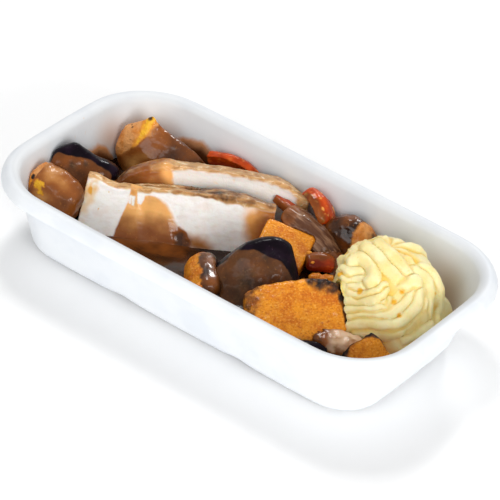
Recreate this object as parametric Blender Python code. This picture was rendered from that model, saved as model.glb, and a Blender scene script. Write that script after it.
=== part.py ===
"""A roast chicken dinner in a long moulded tray: two slices of breast, roast vegetables,
gravy and a scoop of mashed potato.

Metres, +Z up. The origin is at the middle of the tray's underside, +X runs along the tray
towards the mash and +Y towards the side that the chicken leans to.
"""
import math

import bmesh
import bpy
from mathutils import Euler, Matrix, Vector, noise

MM = 0.001

# Tray: rim outline, heights, and how far in from the rim's outline each part of the wall is
TRAY_LENGTH = 230 * MM
TRAY_WIDTH = 128 * MM
TRAY_HEIGHT = 41.4 * MM
RIM_CORNER_RADIUS = 38.8 * MM
WALL_THICKNESS = 1.4 * MM
LIP_WIDTH = 9.6 * MM
LIP_DROP = 6.1 * MM
WALL_INSET_AT_LIP = 8.0 * MM
WALL_INSET_AT_BASE = 15.8 * MM
BASE_FILLET = 8.7 * MM
GROOVE_OFFSET = 33 * MM
GROOVE_WIDTH = 12 * MM
GROOVE_DEPTH = 1.6 * MM
GROOVE_FADE_HEIGHT = 9 * MM
LIP_RECESS_DEPTH = 1.5 * MM
LIP_RECESS_HALF_LENGTH = 24 * MM
LIP_RECESS_STEP = 1.5 * MM
CORNER_STEPS = 6

# Food
GRAVY_LEVEL = 12 * MM
CLEARANCE = 0.3 * MM
SOLVER_TOLERANCE = 0.02


def mix(a, b, t):
    return a + (b - a) * t


def smoothstep(t):
    t = min(max(t, 0.0), 1.0)
    return t * t * (3 - 2 * t)


def clear_scene():
    for old in list(bpy.data.objects):
        bpy.data.objects.remove(old)


def material(name, colour, roughness=0.5, metallic=0.0):
    finish = bpy.data.materials.new(name)
    finish.use_nodes = True
    shader = finish.node_tree.nodes["Principled BSDF"]
    shader.inputs["Base Color"].default_value = (*colour, 1)
    shader.inputs["Roughness"].default_value = roughness
    shader.inputs["Metallic"].default_value = metallic
    return finish


def add_object(name, bm, finish):
    bmesh.ops.recalc_face_normals(bm, faces=bm.faces)
    mesh = bpy.data.meshes.new(name)
    bm.to_mesh(mesh)
    bm.free()
    mesh.materials.append(finish)
    mesh.shade_smooth()
    mesh.set_sharp_from_angle(angle=math.radians(40))
    piece = bpy.data.objects.new(name, mesh)
    bpy.context.scene.collection.objects.link(piece)
    return piece


# Outlines and profiles of the tray

def arc(centre, radius, start, end, steps):
    """Points on an arc in a plane, angles in degrees, both ends included."""
    points = []
    for step in range(steps + 1):
        angle = math.radians(mix(start, end, step / steps))
        points.append((centre[0] + radius * math.cos(angle), centre[1] + radius * math.sin(angle)))
    return points


def side_stations():
    """Distances along a long side at which the tray's outline has a point: the grooves' edges."""
    flank = GROOVE_WIDTH * 0.32
    stations = []
    for groove in (-GROOVE_OFFSET, GROOVE_OFFSET):
        for offset in (-GROOVE_WIDTH / 2, -flank, flank, GROOVE_WIDTH / 2):
            stations.append(groove + offset)
    return stations


def end_stations():
    """Distances along a short side at which the outline has a point: the lip's recess."""
    half = LIP_RECESS_HALF_LENGTH
    inner = half - LIP_RECESS_STEP
    return [-half, -inner, 0.0, inner, half]


def outline(inset):
    """The rim's outline moved in by inset, anticlockwise from the +X end's near corner."""
    radius = RIM_CORNER_RADIUS - inset
    half_x = TRAY_LENGTH / 2 - inset
    half_y = TRAY_WIDTH / 2 - inset
    corner_x = half_x - radius
    corner_y = half_y - radius
    points = []
    for y in end_stations():
        points.append((half_x, y))
    points += arc((corner_x, corner_y), radius, 0, 90, CORNER_STEPS)
    for x in reversed(side_stations()):
        points.append((x, half_y))
    points += arc((-corner_x, corner_y), radius, 90, 180, CORNER_STEPS)
    for y in reversed(end_stations()):
        points.append((-half_x, y))
    points += arc((-corner_x, -corner_y), radius, 180, 270, CORNER_STEPS)
    for x in side_stations():
        points.append((x, -half_y))
    points += arc((corner_x, -corner_y), radius, 270, 360, CORNER_STEPS)
    return points


def groove_rise(x, height):
    """How far the base is pushed up by the grooves that run across it."""
    flank = GROOVE_WIDTH * 0.32
    from_middle = abs(abs(x) - GROOVE_OFFSET)
    across = 1 - smoothstep((from_middle - flank) / (GROOVE_WIDTH / 2 - flank))
    return GROOVE_DEPTH * across * (1 - smoothstep(height / GROOVE_FADE_HEIGHT))


def recess_push(x, y, inset, height):
    """How far the lip's outer edge at the +X end is set back between its two corner lobes."""
    if x < TRAY_LENGTH / 2 - LIP_WIDTH or height < TRAY_HEIGHT - LIP_DROP - MM:
        return 0.0
    along = 1 - smoothstep((abs(y) - LIP_RECESS_HALF_LENGTH + LIP_RECESS_STEP) / LIP_RECESS_STEP)
    return LIP_RECESS_DEPTH * along * smoothstep(1 - inset / (LIP_WIDTH / 2))


def tray_ring(bm, inset, height):
    ring = []
    for x, y in outline(inset):
        push = recess_push(x, y, inset, height)
        ring.append(bm.verts.new((x - push, y, height + groove_rise(x, height))))
    return ring


def join_rings(bm, rings):
    for lower, upper in zip(rings, rings[1:]):
        count = len(lower)
        for i in range(count):
            j = (i + 1) % count
            bm.faces.new((lower[i], lower[j], upper[j], upper[i]))


def base_strips(bm, ring):
    """Fills a tray outline with strips across it, so that the grooves run from side to side."""
    end = len(end_stations())
    half = len(ring) // 2
    near = [ring[-i] for i in range(1, half - end + 1)]
    far = [ring[end - 1 + i] for i in range(1, half - end + 1)]
    bm.faces.new(ring[end - 1::-1] + [near[0], near[1], far[1], far[0]])
    for i in range(1, len(near) - 2):
        bm.faces.new((near[i], far[i], far[i + 1], near[i + 1]))
    bm.faces.new(ring[half:half + end] + [near[-1], near[-2], far[-2], far[-1]])


def outer_wall_profile():
    """(inset, height) up the tray's outside, from the flat base to the hollow under the lip."""
    lip_middle = LIP_WIDTH / 2
    lip_centre_height = TRAY_HEIGHT - lip_middle
    centre = (WALL_INSET_AT_BASE + BASE_FILLET, BASE_FILLET)
    points = arc(centre, BASE_FILLET, 270, 180, 4)
    points.append((WALL_INSET_AT_LIP, TRAY_HEIGHT - LIP_DROP))
    points += arc((lip_middle, lip_centre_height), lip_middle - WALL_THICKNESS, 0, 180, 4)
    points.append((WALL_THICKNESS, TRAY_HEIGHT - LIP_DROP))
    return points


def inner_wall_profile():
    """(inset, height) over the lip from its lower edge, and down the inside to the floor."""
    lip_middle = LIP_WIDTH / 2
    lip_centre_height = TRAY_HEIGHT - lip_middle
    inner_fillet = BASE_FILLET - WALL_THICKNESS
    centre = (WALL_INSET_AT_BASE + BASE_FILLET, BASE_FILLET)
    points = [(0.0, TRAY_HEIGHT - LIP_DROP)]
    points += arc((lip_middle, lip_centre_height), lip_middle, 180, 0, 6)
    points += arc(centre, inner_fillet, 180, 270, 4)
    return points


def make_tray():
    bm = bmesh.new()
    rings = []
    for inset, height in outer_wall_profile() + inner_wall_profile():
        rings.append(tray_ring(bm, inset, height))
    join_rings(bm, rings)
    base_strips(bm, rings[0])
    base_strips(bm, rings[-1])
    return add_object("tray", bm, material("moulded_white", (0.86, 0.88, 0.89), 0.55))


def wall_inset_at(height):
    """The inset of the tray's inner wall at a height above its fillet."""
    top = TRAY_HEIGHT - LIP_WIDTH / 2
    return mix(WALL_INSET_AT_BASE + WALL_THICKNESS, LIP_WIDTH, (height - BASE_FILLET) / (top - BASE_FILLET))


def tray_filling(top):
    """The space inside the tray up to a height, clear of its wall and floor."""
    bm = bmesh.new()
    centre = (WALL_INSET_AT_BASE + BASE_FILLET, BASE_FILLET)
    profile = arc(centre, BASE_FILLET - WALL_THICKNESS - CLEARANCE, 270, 180, 3)
    wall_top = min(top, TRAY_HEIGHT - LIP_WIDTH / 2)
    profile.append((wall_inset_at(wall_top) + CLEARANCE, wall_top))
    if top > wall_top:
        profile.append((wall_inset_at(wall_top) + CLEARANCE, top))
    rings = []
    for inset, height in profile:
        rings.append(tray_ring(bm, inset, height))
    join_rings(bm, rings)
    base_strips(bm, rings[0])
    base_strips(bm, rings[-1])
    return bm


# Food shapes: each is made lying along X about its own middle, then placed

def rounded_section(corners, radius, steps):
    """A polygon in Y and Z with rounded corners, as a list of (y, z)."""
    points = []
    count = len(corners)
    for i in range(count):
        here = Vector(corners[i])
        to_last = Vector(corners[i - 1]) - here
        to_next = Vector(corners[(i + 1) % count]) - here
        reach = min(radius, to_last.length * 0.45, to_next.length * 0.45)
        start = here + to_last.normalized() * reach
        end = here + to_next.normalized() * reach
        for step in range(steps + 1):
            t = step / steps
            points.append(start * (1 - t) ** 2 + here * (2 * t * (1 - t)) + end * t ** 2)
    return points


def loft(sections):
    """A closed surface through rings of points, with flat ends."""
    bm = bmesh.new()
    rings = []
    for section in sections:
        rings.append([bm.verts.new(point) for point in section])
    join_rings(bm, rings)
    bm.faces.new(rings[0])
    bm.faces.new(rings[-1])
    bmesh.ops.triangulate(bm, faces=[face for face in bm.faces if len(face.verts) > 4])
    return bm


def blunt(t, power):
    """1 at the middle of a piece and falling to nothing at its ends, where t is -1 or 1."""
    return max(1 - abs(t) ** power, 0.0) ** (1 / power)


def roughen(bm, depth, grain, seed):
    """Moves each point along its normal by smooth noise, depth metres at most."""
    bm.normal_update()
    moves = []
    for vert in bm.verts:
        place = vert.co / grain + Vector((seed * 7.3, seed * 3.1, seed * 5.7))
        moves.append(vert.normal * (noise.noise(place) * depth))
    for vert, move in zip(bm.verts, moves):
        vert.co += move


def height_at(crest, t):
    """The height of a crest that is given at even steps from t = -1 to t = 1."""
    where = (t + 1) / 2 * (len(crest) - 1)
    index = min(int(where), len(crest) - 2)
    return mix(crest[index], crest[index + 1], where - index)


def bar(corners, length, power=4.0, end_scale=0.45, radius=2.0, stations=8, rounding=1, crest=None, keel=None):
    """A piece with a rounded polygon as its section, narrowing to its ends, sizes in mm.

    power says how square the ends are, and rounding how many faces each corner gets. crest
    and keel give how far it reaches above and below its axis, at even steps along it."""
    section = rounded_section(corners, radius, rounding)
    middle = sum(section, Vector((0, 0))) / len(section)
    rings = []
    for step in range(stations + 1):
        t = -math.cos(math.pi * step / stations)
        scale = mix(end_scale, 1.0, blunt(t, power))
        outline = [middle + (point - middle) * scale for point in section]
        lift = height_at(crest, t) / max(z for _, z in outline) if crest else 1.0
        drop = height_at(keel, t) / max(-z for _, z in outline) if keel else 1.0
        ring = []
        for y, z in outline:
            ring.append(Vector((t * length / 2, y, z * (lift if z > 0 else drop))) * MM)
        rings.append(ring)
    return loft(rings)


def placed(bm, position, yaw=0.0, pitch=0.0, roll=0.0):
    """Turns a shape about its own middle and puts it at a position in mm, angles in degrees."""
    turn = Euler((math.radians(roll), math.radians(pitch), math.radians(yaw)), "XYZ")
    where = Matrix.Translation(Vector(position) * MM) @ turn.to_matrix().to_4x4()
    bmesh.ops.transform(bm, matrix=where, verts=bm.verts)
    return bm


def breast_slice(length, height, thickness, top_dips, end_round, splay=0.0, stations=18):
    """A slice across a chicken breast, standing on its lower edge, front face at Y 0, in mm.

    top_dips gives how far the skin edge drops below the full height along the slice. splay is
    how far the foot of its -X end stands out past the top."""
    rings = []
    for step in range(stations + 1):
        t = step / stations
        x = (t - 0.5) * length
        where = t * (len(top_dips) - 1)
        index = min(int(where), len(top_dips) - 2)
        top = height - mix(top_dips[index], top_dips[index + 1], smoothstep(where - index))
        left, right = end_round
        shoulder = left * (1 - smoothstep(t / 0.16)) + right * (1 - smoothstep((1 - t) / 0.16))
        top -= shoulder
        bottom = 0.25 * shoulder + 1.5 * (2 * t - 1) ** 2
        back = thickness * (1 - 0.25 * (2 * t - 1) ** 2)
        skin = 2.6
        section = [
            (0.8, bottom), (0.0, bottom + 3), (0.2, mix(bottom, top, 0.5)), (0.2, top - skin * 1.4),
            (-0.6, top - skin * 0.6), (0.6, top - 0.3), (back * 0.5, top + 0.3),
            (back - 0.2, top - 0.8), (back + 0.3, top - skin), (back - 0.2, mix(bottom, top, 0.5)),
            (back - 1.2, bottom + 1), (back * 0.5, bottom - 0.5),
        ]
        ring = []
        for y, z in section:
            ring.append(Vector((x - splay * (1 - t) ** 2 * (1 - z / height), y, z)) * MM)
        rings.append(ring)
    return loft(rings)


def petal(length, width, thickness, cup, curl, taper=0.4, stations=9, across=4):
    """A curved leaf of onion or pepper, cupped across and curled along its length, in mm."""
    rings = []
    for step in range(stations + 1):
        t = -math.cos(math.pi * step / stations)
        half = width / 2 * mix(taper, 1.0, blunt(t, 2.5))
        sheet = []
        for row in range(across + 1):
            s = row / across * 2 - 1
            sheet.append((half * s, -cup * s * s * (half * 2 / width) + curl * (1 - t * t)))
        upper = [Vector((t * length / 2, y, z + thickness / 2)) * MM for y, z in sheet]
        lower = [Vector((t * length / 2, y, z - thickness / 2)) * MM for y, z in reversed(sheet)]
        rings.append(upper + lower)
    return loft(rings)


def mash_radius(angle, level):
    """How far the mash reaches from its axis, as a share of its full radius."""
    dome = math.sqrt(max(1 - level ** 3.2, 0.0))
    swirl = math.sin(angle * 7 + level * 5.5 + 0.6 * math.sin(angle * 2))
    ragged = noise.noise(Vector((math.cos(angle) * 2.2, math.sin(angle) * 2.2, level * 3)))
    return dome * (1 + 0.055 * swirl * smoothstep(level * 3) + 0.09 * ragged)


def mash_mound(length, width, height, lean, around=30, levels=10):
    """A scoop of mashed potato with soft ridges that wind up it, base at Z 0, in mm.

    lean is how far its top stands off the middle of its base, along X and Y."""
    rings = []
    for step in range(levels + 1):
        level = 0.985 * math.sin(0.5 * math.pi * step / levels)
        ring = []
        for i in range(around):
            angle = 2 * math.pi * i / around
            reach = mash_radius(angle, level)
            x = math.cos(angle) * length / 2 * reach + lean[0] * level ** 2
            y = math.sin(angle) * width / 2 * reach + lean[1] * level ** 2
            ring.append(Vector((x, y, level * height)) * MM)
        rings.append(ring)
    return loft(rings)


# The pieces of the meal, those in front or on top first

SQUASH = (0.83, 0.33, 0.045)
AUBERGINE = (0.09, 0.05, 0.06)
PEPPER = (0.62, 0.09, 0.02)
ONION = (0.30, 0.16, 0.09)
CHICKEN = (0.88, 0.82, 0.76)
MASH = (0.93, 0.86, 0.55)


def chicken_pieces():
    front = breast_slice(88, 33.5, 12, (0, 4.5, 2, 1, 1, 1.5, 2.5), (0, 2), splay=4)
    yield "chicken_front", CHICKEN, placed(front, (-35.5, -4.2, 4.5), yaw=32.7, roll=-22)
    back = breast_slice(96, 30, 12.5, (7, 4, 0, 0, 0, 0.5, 1.5, 2.5), (9, 6))
    yield "chicken_back", CHICKEN, placed(back, (-35, 15.8, 9), yaw=32.7, roll=-20)


def front_pieces():
    corners = [(-15, -10), (-4, -16), (10, -10), (13, 4), (3, 14)]
    front = bar(
        corners, 48, power=2.5, radius=3, stations=9, rounding=2,
        crest=(6, 10, 11.5, 13, 14, 15, 15.5, 14, 8), keel=(1, 4, 9, 14, 16, 16, 14, 11, 5))
    yield "squash_front", SQUASH, placed(front, (41.5, -14.9, 18.5), yaw=40, roll=-18)
    corners = [(-17, -14), (-2, -16), (11, -12), (15, 0), (12, 8), (1, 14)]
    centre = bar(
        corners, 42, power=2.6, radius=5, stations=10, rounding=2,
        crest=(1.5, 3, 6.5, 10.5, 14, 15, 15, 13.5, 8))
    yield "aubergine_centre", AUBERGINE, placed(centre, (10.5, -8, 20.5), yaw=48, pitch=-13, roll=-8)
    flat = bar([(-12, -9), (9, -9), (9, 3.5), (-12, 3.5)], 24, power=12, end_scale=0.92, radius=1.2)
    yield "squash_flat", SQUASH, placed(flat, (9, 20, 21.5), yaw=20, pitch=10, roll=20)
    glazed = bar([(-9, -8), (6, -8), (8, 3), (0, 9), (-8, 4)], 28, power=3, radius=3)
    yield "squash_glazed", SQUASH, placed(glazed, (-6, -20, 15), yaw=-48, roll=-15)


def mash_pieces():
    mound = mash_mound(60, 54, 43, (-9, 8))
    yield "mash", MASH, placed(mound, (70, 18, 3))


def left_pieces():
    left = bar([(-9, -12), (8, -13), (11, -2), (5, 10), (-5, 10), (-11, 0)], 27, power=2.6, radius=4)
    yield "squash_left", SQUASH, placed(left, (-91, -26, 24), yaw=5, pitch=18, roll=-12)
    corners = [(-12, -14), (-2, -16), (9, -12), (12, 0), (8, 9), (0, 12)]
    aubergine = bar(
        corners, 33, power=3, radius=4, rounding=2, crest=(5, 8.5, 11.5, 11, 8, 6, 5, 4, 2.5))
    yield "aubergine_left", AUBERGINE, placed(aubergine, (-90.5, -6, 27.5), yaw=42, pitch=9, roll=-14)
    corners = [(-12, -16), (12, -16), (9, 4), (2, 24), (-7, 6)]
    back = bar(
        corners, 46, power=1.4, end_scale=0.3, radius=2, stations=12, rounding=2,
        crest=(7, 14.5, 20, 14.5, 13, 12.5, 12, 11, 7))
    yield "squash_back_left", SQUASH, placed(back, (-77, 37, 19), yaw=14, pitch=12)


def back_pieces():
    right = petal(20, 13, 3.0, 2.5, 3)
    yield "pepper_right", PEPPER, placed(right, (9.5, 46, 30.5), yaw=-25, pitch=20, roll=-30)
    upper = petal(34, 15, 1.8, 4, 4)
    yield "onion_upper", ONION, placed(upper, (15, 34, 24), pitch=20, roll=10)
    strip = petal(22, 7, 3.0, 1, 1.5)
    yield "pepper_strip", PEPPER, placed(strip, (-1, 39, 25.5), yaw=-5, pitch=14, roll=-20)
    charred = bar(
        [(-9, -12), (8, -13), (10, 2), (0, 9), (-8, 5)], 26, power=2.6, radius=3, crest=(4, 8, 11, 11.5, 11, 9, 5))
    yield "squash_back_right", SQUASH, placed(charred, (28.5, 45, 23), yaw=5)
    lower = petal(26, 13, 1.8, 3, 3)
    yield "onion_lower", ONION, placed(lower, (27, 33, 18), yaw=-20, pitch=25)
    back = petal(26, 9.5, 3.0, 2.5, 3)
    yield "pepper_back", PEPPER, placed(back, (-43, 48, 27), yaw=13, pitch=5, roll=-65)


def small_pieces():
    small = petal(13, 9, 3.0, 1, 1)
    yield "pepper_small", PEPPER, placed(small, (28, 22, 20), yaw=50, pitch=10, roll=20)
    crumb = bar([(-4, -6), (4, -6), (4, 3), (-3, 4)], 12, power=3, radius=2, stations=6)
    yield "squash_crumb", SQUASH, placed(crumb, (34, 15, 16), yaw=35)
    right = bar(
        [(-8, -10), (8, -10), (1, 14)], 23, power=1.3, end_scale=0.25, radius=2,
        crest=(1, 5.5, 8, 10.5, 14, 14, 8, 4.5, 1))
    yield "squash_right", SQUASH, placed(right, (83, -17, 16), yaw=35)
    scrap = bar([(-6, -7), (6, -8), (7, 3), (0, 6), (-7, 2)], 24, power=2.5, radius=3)
    yield "chicken_scrap", CHICKEN, placed(scrap, (66, -15, 14), yaw=25, roll=10)
    peel = petal(16, 8, 2.0, 2, 1.5)
    yield "aubergine_peel", AUBERGINE, placed(peel, (59, -27, 13), yaw=35, roll=45)


def gravy_bank():
    """The gravy that has run down the front slice and lies heaped along its foot."""
    bank = bar([(-13, -9), (10, -9), (9, 4), (1, 4.5), (-7, 0)], 44, power=2.2, radius=4)
    return placed(bank, (-40, -21, 12), yaw=38)


def make_food():
    pieces = []
    makers = (chicken_pieces, front_pieces, mash_pieces, left_pieces, back_pieces, small_pieces)
    for maker in makers:
        for name, colour, bm in maker():
            roughen(bm, 0.8 * MM, 7 * MM, len(pieces))
            bmesh.ops.triangulate(bm, faces=bm.faces)
            pieces.append(add_object(name, bm, material(name, colour, 0.4)))
    return pieces


# Room between the pieces

def evaluated_copy(piece):
    """The piece's mesh with its modifiers applied."""
    graph = bpy.context.evaluated_depsgraph_get()
    return bpy.data.meshes.new_from_object(piece.evaluated_get(graph))


def corners_of(piece):
    points = [vert.co for vert in piece.data.vertices]
    low = Vector([min(point[axis] for point in points) for axis in range(3)])
    high = Vector([max(point[axis] for point in points) for axis in range(3)])
    return low, high


def boxes_meet(one, other):
    (low_a, high_a), (low_b, high_b) = corners_of(one), corners_of(other)
    return all(low_a[i] < high_b[i] + CLEARANCE and low_b[i] < high_a[i] + CLEARANCE for i in range(3))


def swollen(piece):
    """A cutter: the piece's shape, thicker all over by the clearance."""
    bm = bmesh.new()
    bm.from_mesh(piece.data)
    bm.normal_update()
    steps = [vert.normal * (CLEARANCE * min(vert.calc_shell_factor(), 2.0)) for vert in bm.verts]
    for vert, step in zip(bm.verts, steps):
        vert.co += step
    mesh = bpy.data.meshes.new(piece.name + "_room")
    bm.to_mesh(mesh)
    bm.free()
    cutter = bpy.data.objects.new(piece.name + "_room", mesh)
    bpy.context.scene.collection.objects.link(cutter)
    cutter.hide_render = True
    cutter.display_type = "WIRE"
    return cutter


def bodies_of(bm):
    """The mesh's separate bodies, each a list of faces. Two that only touch along an edge count as two."""
    left = set(bm.faces)
    bodies = []
    while left:
        body = [left.pop()]
        for face in body:
            for edge in face.edges:
                if len(edge.link_faces) != 2:
                    continue
                for other in edge.link_faces:
                    if other in left:
                        left.remove(other)
                        body.append(other)
        bodies.append(body)
    return bodies


def tidy(piece):
    """Keeps only the largest body of a piece, as triangles."""
    bm = bmesh.new()
    bm.from_mesh(piece.data)
    bodies = sorted(bodies_of(bm), key=lambda body: sum(face.calc_area() for face in body))
    for body in bodies[:-1]:
        bmesh.ops.delete(bm, geom=body, context="FACES")
    bmesh.ops.triangulate(bm, faces=bm.faces)
    bm.to_mesh(piece.data)
    bm.free()


def volume(mesh):
    bm = bmesh.new()
    bm.from_mesh(mesh)
    found = bm.calc_volume(signed=True)
    bm.free()
    return found


def is_closed(mesh):
    """True if each edge of the mesh has two faces once its faces are split into triangles."""
    mesh.calc_loop_triangles()
    uses = {}
    for triangle in mesh.loop_triangles:
        a, b, c = triangle.vertices
        for start, end in ((a, b), (b, c), (c, a)):
            edge = (min(start, end), max(start, end))
            uses[edge] = uses.get(edge, 0) + 1
    return bool(uses) and all(count == 2 for count in uses.values())


def solved(piece, other, operation, solver):
    """The mesh that a Boolean with another object gives."""
    step = piece.modifiers.new(other.name, "BOOLEAN")
    step.object = other
    step.operation = operation
    step.solver = solver
    mesh = evaluated_copy(piece)
    piece.modifiers.clear()
    return mesh


def combine(piece, other, operation, exact=True):
    """Applies a Boolean with another object, which is then removed.

    The exact solver now and then loses a part of a shape, and then the other solver's result is kept."""
    kept = solved(piece, other, operation, "MANIFOLD")
    if exact:
        first_choice = solved(piece, other, operation, "EXACT")
        expected = volume(kept)
        agree = abs(volume(first_choice) - expected) < SOLVER_TOLERANCE * expected
        if agree and is_closed(first_choice):
            kept = first_choice
    piece.data = kept
    bpy.data.objects.remove(other)


def make_room(piece, neighbours, exact=True):
    """Cuts from a piece the room that its neighbours need, and drops loose scraps."""
    for neighbour in neighbours:
        if boxes_meet(piece, neighbour):
            combine(piece, swollen(neighbour), "DIFFERENCE", exact)
    tidy(piece)


def pokes_out(piece):
    """True if a point of the piece lies in the tray's wall or outside it."""
    for vert in piece.data.vertices:
        x, y, z = vert.co
        inset = wall_inset_at(max(z, BASE_FILLET)) + CLEARANCE
        radius = RIM_CORNER_RADIUS - inset
        past_x = max(abs(x) - (TRAY_LENGTH / 2 - inset - radius), 0.0)
        past_y = max(abs(y) - (TRAY_WIDTH / 2 - inset - radius), 0.0)
        if math.hypot(past_x, past_y) > radius or z < BASE_FILLET:
            return True
    return False


def main():
    clear_scene()
    make_tray()
    gravy_finish = material("gravy", (0.16, 0.07, 0.025), 0.2)
    gravy = add_object("gravy", tray_filling(GRAVY_LEVEL), gravy_finish)
    tidy(gravy)
    combine(gravy, add_object("bank", gravy_bank(), gravy_finish), "UNION", exact=False)
    food = make_food()
    for index, piece in enumerate(food):
        if pokes_out(piece):
            combine(piece, add_object("inside", tray_filling(2 * TRAY_HEIGHT), gravy_finish), "INTERSECT")
        make_room(piece, food[:index])
    make_room(gravy, food, exact=False)


main()
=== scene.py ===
"""A roast chicken meal in a white moulded tray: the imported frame, dressed as the finished food."""
import math

import bmesh
import bpy
import numpy as np
from mathutils import Euler, Matrix, Vector, noise
from mathutils.bvhtree import BVHTree


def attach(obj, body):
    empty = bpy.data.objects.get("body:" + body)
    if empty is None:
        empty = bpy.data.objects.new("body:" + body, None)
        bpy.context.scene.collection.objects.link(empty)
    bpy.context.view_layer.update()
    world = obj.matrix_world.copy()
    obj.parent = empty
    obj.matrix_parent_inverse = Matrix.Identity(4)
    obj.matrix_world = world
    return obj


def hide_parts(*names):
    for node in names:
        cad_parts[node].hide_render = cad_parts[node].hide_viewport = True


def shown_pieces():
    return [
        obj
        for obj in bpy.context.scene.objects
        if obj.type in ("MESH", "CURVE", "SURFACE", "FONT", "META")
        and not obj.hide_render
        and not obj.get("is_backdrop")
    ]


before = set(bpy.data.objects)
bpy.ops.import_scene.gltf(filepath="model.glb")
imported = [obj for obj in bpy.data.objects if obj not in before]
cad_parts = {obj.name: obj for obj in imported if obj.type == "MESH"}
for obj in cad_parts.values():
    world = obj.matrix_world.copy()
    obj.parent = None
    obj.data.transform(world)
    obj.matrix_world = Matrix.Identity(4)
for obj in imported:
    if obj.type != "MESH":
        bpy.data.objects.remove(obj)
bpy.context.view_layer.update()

MM = 0.001

# Camera: its azimuth, elevation and roll in degrees, how far it stands from the place it looks at, in
# metres, and its lens for a 36 mm sensor
CAMERA_ANGLES = (32.528, 35.042, 7.684)
CAMERA_DISTANCE = 1.47827
CAMERA_AIM = Vector((-0.01625, 0.03051, 0.0))
CAMERA_LENS = 224.92

# How each piece lies: its middle in mm, then yaw, pitch and roll in degrees
LAYS = {
    "chicken_front": ((-35.5, -4.2, 4.5), 32.7, 0, -22),
    "chicken_back": ((-35, 15.8, 9), 32.7, 0, -20),
    "chicken_scrap": ((66, -15, 14), 25, 0, 10),
    "mash": ((70, 18, 3), 0, 0, 0),
    "squash_front": ((41.5, -14.9, 18.5), 40, 0, -18),
    "squash_flat": ((9, 20, 21.5), 20, 10, 20),
    "squash_glazed": ((-6, -20, 15), -48, 0, -15),
    "squash_left": ((-91, -26, 24), 5, 18, -12),
    "squash_back_left": ((-77, 37, 19), 14, 12, 0),
    "squash_back_right": ((28.5, 45, 23), 5, 0, 0),
    "squash_crumb": ((34, 15, 16), 35, 0, 0),
    "squash_right": ((83, -17, 16), 35, 0, 0),
    "aubergine_centre": ((10.5, -8, 20.5), 48, -13, -8),
    "aubergine_left": ((-90.5, -6, 27.5), 42, 9, -14),
    "aubergine_peel": ((59, -27, 13), 35, 0, 45),
    "pepper_right": ((9.5, 46, 30.5), -25, 20, -30),
    "pepper_strip": ((-1, 39, 25.5), -5, 14, -20),
    "pepper_back": ((-43, 48, 27), 13, 5, -65),
    "pepper_small": ((28, 22, 20), 50, 10, 20),
    "onion_upper": ((15, 34, 24), 0, 20, 10),
    "onion_lower": ((27, 33, 18), -20, 25, 0),
}

# Gravy in the tray: its level, the tray's inner outline at that level, and its straight core, in mm
GRAVY_LEVEL = 12.0
TRAY_HALF_LENGTH = 98.6
TRAY_HALF_WIDTH = 47.6
TRAY_CORNER = 22.3
CORE_X = TRAY_HALF_LENGTH - TRAY_CORNER
CORE_Y = TRAY_HALF_WIDTH - TRAY_CORNER


def ramp(low, high, value):
    """0 below low, 1 above high, and a smooth rise between."""
    t = np.clip((value - low) / (high - low), 0.0, 1.0)
    return t * t * (3 - 2 * t)


def srgb(red, green, blue):
    """A colour given as a screen shows it, 0 to 255, in the linear values that shaders take."""
    shares = []
    for value in (red / 255, green / 255, blue / 255):
        shares.append(value / 12.92 if value <= 0.04045 else ((value + 0.055) / 1.055) ** 2.4)
    return (*shares, 1.0)


def field(places, size, seed):
    """Smooth noise from -1 to 1 at each place, with a grain of size mm."""
    shifted = places / size + np.array((7.3, 3.1, 5.7)) * seed
    return np.array([noise.noise(place) for place in shifted])


def fractal(places, size, seed):
    """Noise with twice finer and four times finer grain laid over it."""
    return sum(field(places, size / 2 ** octave, seed + octave) / 2 ** octave for octave in range(3))


def reach_in(outline, u, v):
    """How far each place lies inside a closed outline, in mm, and negative outside it."""
    nearest = np.full(len(u), np.inf)
    inside = np.zeros(len(u), bool)
    for (u0, v0), (u1, v1) in zip(outline, outline[1:] + outline[:1]):
        du, dv = u1 - u0, v1 - v0
        along = np.clip(((u - u0) * du + (v - v0) * dv) / (du * du + dv * dv), 0, 1)
        nearest = np.minimum(nearest, np.hypot(u - u0 - along * du, v - v0 - along * dv))
        if dv:
            inside ^= ((v0 > v) != (v1 > v)) & (u < (v - v0) * du / dv + u0)
    return np.where(inside, nearest, -nearest)


def path_distance(path, places):
    """Distance of each place from a path of points in space."""
    nearest = np.full(len(places), np.inf)
    for start, end in zip(np.array(path[:-1], float), np.array(path[1:], float)):
        step = end - start
        along = np.clip((places - start) @ step / (step @ step), 0, 1)
        nearest = np.minimum(nearest, np.linalg.norm(places - start - along[:, None] * step, axis=1))
    return nearest


def angles_of(lay):
    """A lay's roll, pitch and yaw in radians."""
    _middle, yaw, pitch, roll = lay
    return math.radians(roll), math.radians(pitch), math.radians(yaw)


# Materials

class Wire:
    """A socket in a material. Arithmetic on it adds the Math nodes that work it out."""

    def __init__(self, finish, socket):
        self.finish = finish
        self.socket = socket

    def maths(self, operation, *values):
        return self.finish.node("Math", {"operation": operation}, values)

    def __add__(self, other):
        return self.maths("ADD", self, other)

    __radd__ = __add__

    def __sub__(self, other):
        return self.maths("SUBTRACT", self, other)

    def __rsub__(self, other):
        return self.maths("SUBTRACT", other, self)

    def __mul__(self, other):
        return self.maths("MULTIPLY", self, other)

    __rmul__ = __mul__

    def above(self, low, high):
        """The rise of ramp, in a material."""
        settings = {"interpolation_type": "SMOOTHSTEP"}
        return self.finish.node("MapRange", settings, (self, low, high, 0.0, 1.0))

    def at_least(self, other):
        return self.maths("MAXIMUM", self, other)

    def at_most(self, other):
        return self.maths("MINIMUM", self, other)


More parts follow.
